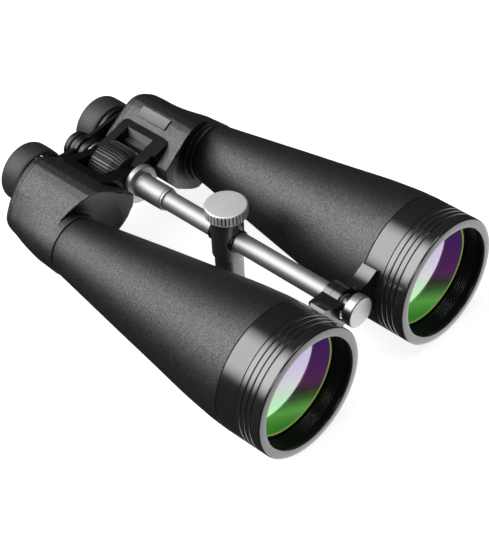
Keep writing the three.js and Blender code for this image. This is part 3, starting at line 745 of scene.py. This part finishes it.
class Wire:
    # a socket that takes part in arithmetic
    def __init__(self, board, socket):
        self.board, self.socket = board, socket

    def maths(self, operation, first, second=0.0):
        return self.board.make("ShaderNodeMath", {"operation": operation}, {0: first, 1: second})

    def __add__(self, other):
        return self.maths("ADD", self, other)

    __radd__ = __add__

    def __sub__(self, other):
        return self.maths("SUBTRACT", self, other)

    def __rsub__(self, other):
        return self.maths("SUBTRACT", other, self)

    def __mul__(self, other):
        return self.maths("MULTIPLY", self, other)

    __rmul__ = __mul__

    def __truediv__(self, other):
        return self.maths("DIVIDE", self, other)

    def __rtruediv__(self, other):
        return self.maths("DIVIDE", other, self)

    def __pow__(self, other):
        return self.maths("POWER", self, other)

    def __abs__(self):
        return self.maths("ABSOLUTE", self)

    def __gt__(self, other):
        return self.maths("GREATER_THAN", self, other)


class Board:
    # one material, or the world, and the nodes on it
    def __init__(self, name, owner=None, shader="Principled BSDF"):
        self.material = owner or bpy.data.materials.new(name)
        self.material.use_nodes = True
        self.tree = self.material.node_tree
        self.shader = self.tree.nodes[shader]

    def make(self, kind, settings=None, sockets=None, out=0):
        node = self.tree.nodes.new(kind)
        for key, value in (settings or {}).items():
            if key == "stops":
                ramp = node.color_ramp
                while len(ramp.elements) < len(value):
                    ramp.elements.new(0.5)
                for element, (place, colour) in zip(ramp.elements, value):
                    element.position, element.color = place, (*colour, 1)
            else:
                setattr(node, key, value)
        self.plug(node, sockets or {})
        return Wire(self, node.outputs[out])

    def plug(self, node, sockets):
        for key, value in sockets.items():
            if isinstance(value, Wire):
                self.tree.links.new(value.socket, node.inputs[key])
            else:
                node.inputs[key].default_value = value

    def place(self, scale=(1, 1, 1), shift=(0, 0, 0)):
        here = self.make("ShaderNodeTexCoord", out=3)
        return self.make("ShaderNodeMapping", None, {0: here, 1: shift, 3: scale})

    def noise(self, scale, detail=3.0, stretch=(1, 1, 1), rough=0.5):
        return self.make("ShaderNodeTexNoise", None, {"Vector": self.place(stretch), "Scale": scale,
                                                      "Detail": detail, "Roughness": rough})

    def xyz(self, shift=(0, 0, 0)):
        parts = self.make("ShaderNodeSeparateXYZ", None, {0: self.place((1, 1, 1), shift)})
        node = parts.socket.node
        return [Wire(self, node.outputs[i]) for i in range(3)]

    def mix(self, amount, a, b):
        return self.make("ShaderNodeMix", {"data_type": "RGBA"}, {0: amount, 6: a, 7: b}, out=2)

    def ramp(self, amount, stops):
        return self.make("ShaderNodeValToRGB", {"stops": stops}, {0: amount})

    def between(self, amount, low, high, toLow=0.0, toHigh=1.0):
        return self.make("ShaderNodeMapRange", {"clamp": True, "interpolation_type": "SMOOTHSTEP"},
                         {0: amount, 1: low, 2: high, 3: toLow, 4: toHigh})

    def bump(self, height, distance, strength=1.0):
        return self.make("ShaderNodeBump", None, {"Strength": strength, "Distance": distance, "Height": height})

    def surface(self, **sockets):
        self.plug(self.shader, {key.replace("_", " "): value for key, value in sockets.items()})
        return self.material


def grey(v, tint=(1, 1, 1)):
    return (v * tint[0], v * tint[1], v * tint[2], 1)


def pebbled(name="pebbled", low=0.022, high=0.1):
    # cast body under a fine pebble grain that glints where it is lit
    b = Board(name)
    grain = b.noise(1500, 1.0)
    fine = b.noise(3000, 1.0)
    patch = b.noise(26, 3.0)
    crest = b.between(grain * 0.55 + fine * 0.45, 0.38, 0.64)
    tone = b.mix(crest * 0.9 + patch * 0.1, grey(low), grey(high, (1, 1, 1.02)))
    return b.surface(Base_Color=tone, Metallic=0.9, Roughness=0.43 + 0.06 * patch - 0.08 * crest,
                     Normal=b.bump(crest, 0.00012, 0.5), Specular_IOR_Level=0.4)


def blackMetal(name, tone, rough, lines=0.00001, coat=0.0, metal=0.9, gloss=0.4):
    # hard black finish with faint turning lines and handling marks
    b = Board(name)
    fine = b.noise(60, 4.0, (1, 60, 1))
    patch = b.noise(35, 4.0)
    speck = b.noise(900, 2.0)
    colour = b.mix(patch, grey(tone * 0.85), grey(tone * 1.15))
    return b.surface(Base_Color=colour, Roughness=rough + 0.05 * patch + 0.04 * speck, Metallic=metal,
                     Normal=b.bump(fine * 0.6 + speck * 0.4, lines, 0.5), Coat_Weight=coat, Coat_Roughness=0.12,
                     Specular_IOR_Level=gloss)


def rubber():
    b = Board("rubber")
    grain = b.noise(1700, 3.0)
    patch = b.noise(45, 4.0)
    colour = b.mix(patch, grey(0.007), grey(0.015))
    return b.surface(Base_Color=colour, Roughness=0.5 + 0.12 * patch, Normal=b.bump(grain, 0.00012, 0.5))


def brushedBar():
    # drawn along the bar
    b = Board("brushedBar")
    streak = b.noise(1, 5.0, (2600, 14, 2600))
    broad = b.noise(1, 3.0, (420, 5, 420))
    tone = b.mix(streak * 0.6 + broad * 0.4, grey(0.25, (1, 0.997, 0.99)), grey(0.38, (1, 0.997, 0.99)))
    return b.surface(Base_Color=tone, Metallic=1.0, Roughness=0.5 + 0.1 * streak,
                     Normal=b.bump(streak, 0.00002, 0.5))


def turnedSilver(name="turnedSilver", tone=0.3):
    # faced off in a lathe, so it reflects in a fan round its middle
    b = Board(name)
    streak = b.noise(1, 4.0, (700, 700, 2600))
    patch = b.noise(60, 3.0)
    colour = b.mix(streak * 0.4 + patch * 0.6, grey(tone * 0.86), grey(tone * 1.08, (1, 0.997, 0.99)))
    return b.surface(Base_Color=colour, Metallic=1.0, Roughness=0.36 + 0.08 * streak,
                     Normal=b.bump(streak, 0.000006, 0.4), Anisotropic=0.6)


def knurledSilver():
    # satin plating, brushed one way across the top
    b = Board("knurledSilver")
    streak = b.noise(1, 4.0, (30, 1500, 1500))
    band = b.noise(1, 1.0, (4, 130, 20))
    colour = b.mix(streak * 0.35 + band * 0.65, grey(0.36), grey(0.62, (1, 0.997, 0.99)))
    return b.surface(Base_Color=colour, Metallic=0.5, Roughness=0.42 + 0.1 * streak,
                     Normal=b.bump(streak, 0.000008, 0.4))


def plainMetal(name, tone, rough):
    b = Board(name)
    streak = b.noise(1, 4.0, (300, 1400, 300))
    patch = b.noise(80, 3.0)
    colour = b.mix(streak * 0.5 + patch * 0.5, grey(tone * 0.8), grey(tone * 1.15))
    return b.surface(Base_Color=colour, Metallic=1.0, Roughness=rough + 0.12 * streak,
                     Normal=b.bump(streak, 0.00003, 0.5))


def coatedFront():
    # coated glass under a painted reflection that glows: green below, violet above, and a painted bright highlight ring
    # along the outer edge
    b = Board("coatedFront")
    x, y, z = b.xyz()
    across = ((abs(x) - barrelX * mm) ** 2 + (z - barrelZ * mm) ** 2) ** 0.5
    local = x - b.make("ShaderNodeMath", {"operation": "SIGN"}, {0: x}) * (barrelX * mm)
    rise = b.between(z + 0.6 * local + 0.004 * b.noise(25, 2.0), (barrelZ - 44) * mm, (barrelZ + 42) * mm)
    # painted reflection, given as glow: green low, dark across the middle, violet high
    paintedReflectionGlow = b.ramp(rise, [(0.0, (0.03, 0.19, 0.02)), (0.13, (0.10, 0.34, 0.06)), (0.27, (0.04, 0.10, 0.03)),
                         (0.38, (0.035, 0.03, 0.025)), (0.52, (0.085, 0.02, 0.09)), (1.0, (0.05, 0.016, 0.10))])
    # painted highlight: a bright yellow-green ring along the lens's edge bevel, given as glow
    edge = b.between(across, 37.9 * mm, 38.7 * mm)
    colour = b.mix(edge, paintedReflectionGlow, (0.20, 0.30, 0.07, 1))
    smear = b.noise(120, 4.0)
    mirror = b.ramp(rise, [(0.0, (0.11, 0.26, 0.11)), (0.3, (0.17, 0.28, 0.18)), (0.55, (0.21, 0.23, 0.22)),
                           (0.8, (0.20, 0.18, 0.24))])
    return b.surface(Base_Color=mirror, Metallic=1.0, Roughness=0.04 + 0.04 * smear, Emission_Color=colour,
                     Emission_Strength=0.85)


def coatedDeep():
    b = Board("coatedDeep")
    smear = b.noise(90, 3.0)
    tint = b.mix(smear, (0.01, 0.05, 0.02, 1), (0.03, 0.02, 0.05, 1))
    return b.surface(Base_Color=tint, Roughness=0.06 + 0.05 * smear, Coat_Weight=1.0)


def paintedTick():
    b = Board("tickWhite")
    wear = b.noise(900, 3.0)
    return b.surface(Base_Color=b.mix(wear, grey(0.5), grey(0.75)), Roughness=0.5 + 0.1 * wear)


def eyeCoating():
    b = Board("eyeCoating")
    smear = b.noise(160, 4.0)
    tint = b.mix(b.noise(60, 2.0), (0.02, 0.05, 0.035, 1), (0.05, 0.03, 0.09, 1))
    return b.surface(Base_Color=tint, Roughness=0.03 + 0.04 * smear, Coat_Weight=1.0, Coat_Roughness=0.02)


def prismGlass():
    b = Board("prismGlass")
    smear = b.noise(110, 4.0)
    tint = b.mix(smear, (0.55, 0.66, 0.68, 1), (0.78, 0.86, 0.86, 1))
    return b.surface(Base_Color=tint, Roughness=0.03 + 0.1 * smear, Alpha=0.55 + 0.1 * smear)


finishes = {
    "pebbled": pebbled(),
    # darker copy of the grain finish for the front-facing housing faces: painted shade
    "pebbledDeep": pebbled("pebbledDeep", 0.008, 0.022),
    "ringBlack": blackMetal("ringBlack", 0.085, 0.12, 0.00002),
    "satinBlack": blackMetal("satinBlack", 0.075, 0.13, 0.00001),
    "glossBlack": blackMetal("glossBlack", 0.025, 0.2, 0.00001),
    "innerBlack": blackMetal("innerBlack", 0.003, 0.4, 0.00002, metal=0.0, gloss=0.15),
    "postBlack": blackMetal("postBlack", 0.10, 0.32, 0.00001),
    "wheelGrey": blackMetal("wheelGrey", 0.075, 0.42, 0.00002),
    # darker finishes for the sunk grooves of the wheel and the lock knob: painted shade
    "grooveBlack": blackMetal("grooveBlack", 0.004, 0.5, 0.00002, metal=0.0, gloss=0.2),
    "grooveSilver": turnedSilver("grooveSilver", 0.1),
    "rubber": rubber(),
    "brushedBar": brushedBar(),
    "turnedSilver": turnedSilver(),
    "knurledSilver": knurledSilver(),
    "steel": plainMetal("steel", 0.45, 0.3),
    "satinDark": blackMetal("satinDark", 0.035, 0.34, 0.00001),
    # lighter grey for the bracket's window wall: painted reflection of the key light
    "pocketGrey": blackMetal("pocketGrey", 0.2, 0.5, 0.00003, metal=0.2),
    "badgeMetal": blackMetal("badgeMetal", 0.10, 0.45, 0.00003, metal=0.6),
    "tickWhite": paintedTick(),
    "coatedFront": coatedFront(),
    "coatedDeep": coatedDeep(),
    "eyeCoating": eyeCoating(),
    "prismGlass": prismGlass(),
}
for piece, body, nodes, slotName, look in made:
    slots = piece.data.materials
    for i, one in enumerate(look if isinstance(look, tuple) else (look,)):
        if i < len(slots):
            slots[i] = finishes[one]
        else:
            slots.append(finishes[one])
    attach(piece, body)
    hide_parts(*nodes)
carried = {"rear_prism": "prismGlass", "front_prism": "prismGlass", "prism_shelf": "innerBlack",
           "prism_strap": "steel", "clamp_shoe": "steel", "post_bush": "innerBlack"}
for name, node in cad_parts.items():
    if not node.hide_render:
        look = finishes[carried.get(name.replace("_left", "").replace("_right", ""), "satinBlack")]
        for place in node.material_slots:
            place.material = look
print("finishes", len(made), "new pieces")

# studio
studio = {
    "floorSize": 14,
    "floorTone": 0.3,
    "floorGlow": 0.86,
    "sky": 0.045,
    "under": 0.03,
    # soft white cards: the way to the card, where its edge starts and ends, strength
    "cards": [((0.522, -0.531, -0.668), 0.62, 0.8, 2.4), ((-0.52, 0.531, 0.67), 0.76, 0.97, 6.5)],
    # name: (place, aim, width, height, watts)
    "lights": {
        "overhead": ((0.1, -0.35, 2.6), (0, 0, 0), 1.6, 1.6, 30),
        "front": ((-1.2, -1.7, 1.1), (0, 0, 0.05), 0.9, 0.6, 5),
    },
}
bpy.ops.mesh.primitive_plane_add(size=studio["floorSize"], location=(0, 0, cadBox[0].z - 0.0004))
floor = bpy.context.object
floor.name = "floor"
paper = Board("floorPaper")
cloud = paper.noise(3, 3.0)
tone = studio["floorTone"]
floor.data.materials.append(paper.surface(Base_Color=paper.mix(cloud, grey(tone), grey(tone * 1.03)),
                                          Roughness=0.85, Emission_Color=grey(1.0),
                                          Emission_Strength=studio["floorGlow"]))
floor.visible_glossy = False

world = bpy.data.worlds.new("studio")
room = Board("room", world, "Background")
outward = room.make("ShaderNodeTexCoord")


def towards(way):
    return room.make("ShaderNodeVectorMath", {"operation": "DOT_PRODUCT"}, {0: outward, 1: way}, out=1)


glow = room.between(towards((0, 0, 1)), -0.08, 0.1, studio["under"], studio["sky"])
for way, starts, ends, strength in studio["cards"]:
    glow = glow + room.between(towards(way), starts, ends, 0, strength)
room.surface(Color=grey(1.0), Strength=glow)
bpy.context.scene.world = world
for name, (spot, aim, width, height, watts) in studio["lights"].items():
    lamp = bpy.data.lights.new(name, "AREA")
    lamp.shape, lamp.size, lamp.size_y, lamp.energy = "RECTANGLE", width, height, watts
    holder = bpy.data.objects.new(name, lamp)
    bpy.context.scene.collection.objects.link(holder)
    holder.location = spot
    holder.rotation_euler = (Vector(aim) - Vector(spot)).to_track_quat("-Z", "Y").to_euler()

view = {"place": (-0.63766, -0.67946, 0.84404), "azimuth": -44.51, "elevation": 41.88, "roll": -3.28, "lens": 116.14}
az, el, roll = (math.radians(view[k]) for k in ("azimuth", "elevation", "roll"))
back = Vector((math.sin(az) * math.cos(el), -math.cos(az) * math.cos(el), math.sin(el)))
flat = Vector((math.cos(az), math.sin(az), 0))
rise = back.cross(flat)
across = flat * math.cos(roll) + rise * math.sin(roll)
up = rise * math.cos(roll) - flat * math.sin(roll)
camera = bpy.data.objects.new("camera", bpy.data.cameras.new("camera"))
bpy.context.scene.collection.objects.link(camera)
camera.matrix_world = (Matrix.Translation(view["place"])
                       @ Matrix((across, up, back)).transposed().to_4x4())
camera.data.lens, camera.data.sensor_width, camera.data.sensor_fit = view["lens"], 36, "AUTO"
camera.data.clip_start, camera.data.clip_end = 0.05, 50
bpy.context.scene.camera = camera
bpy.context.scene.view_settings.view_transform = "Standard"
print("studio")
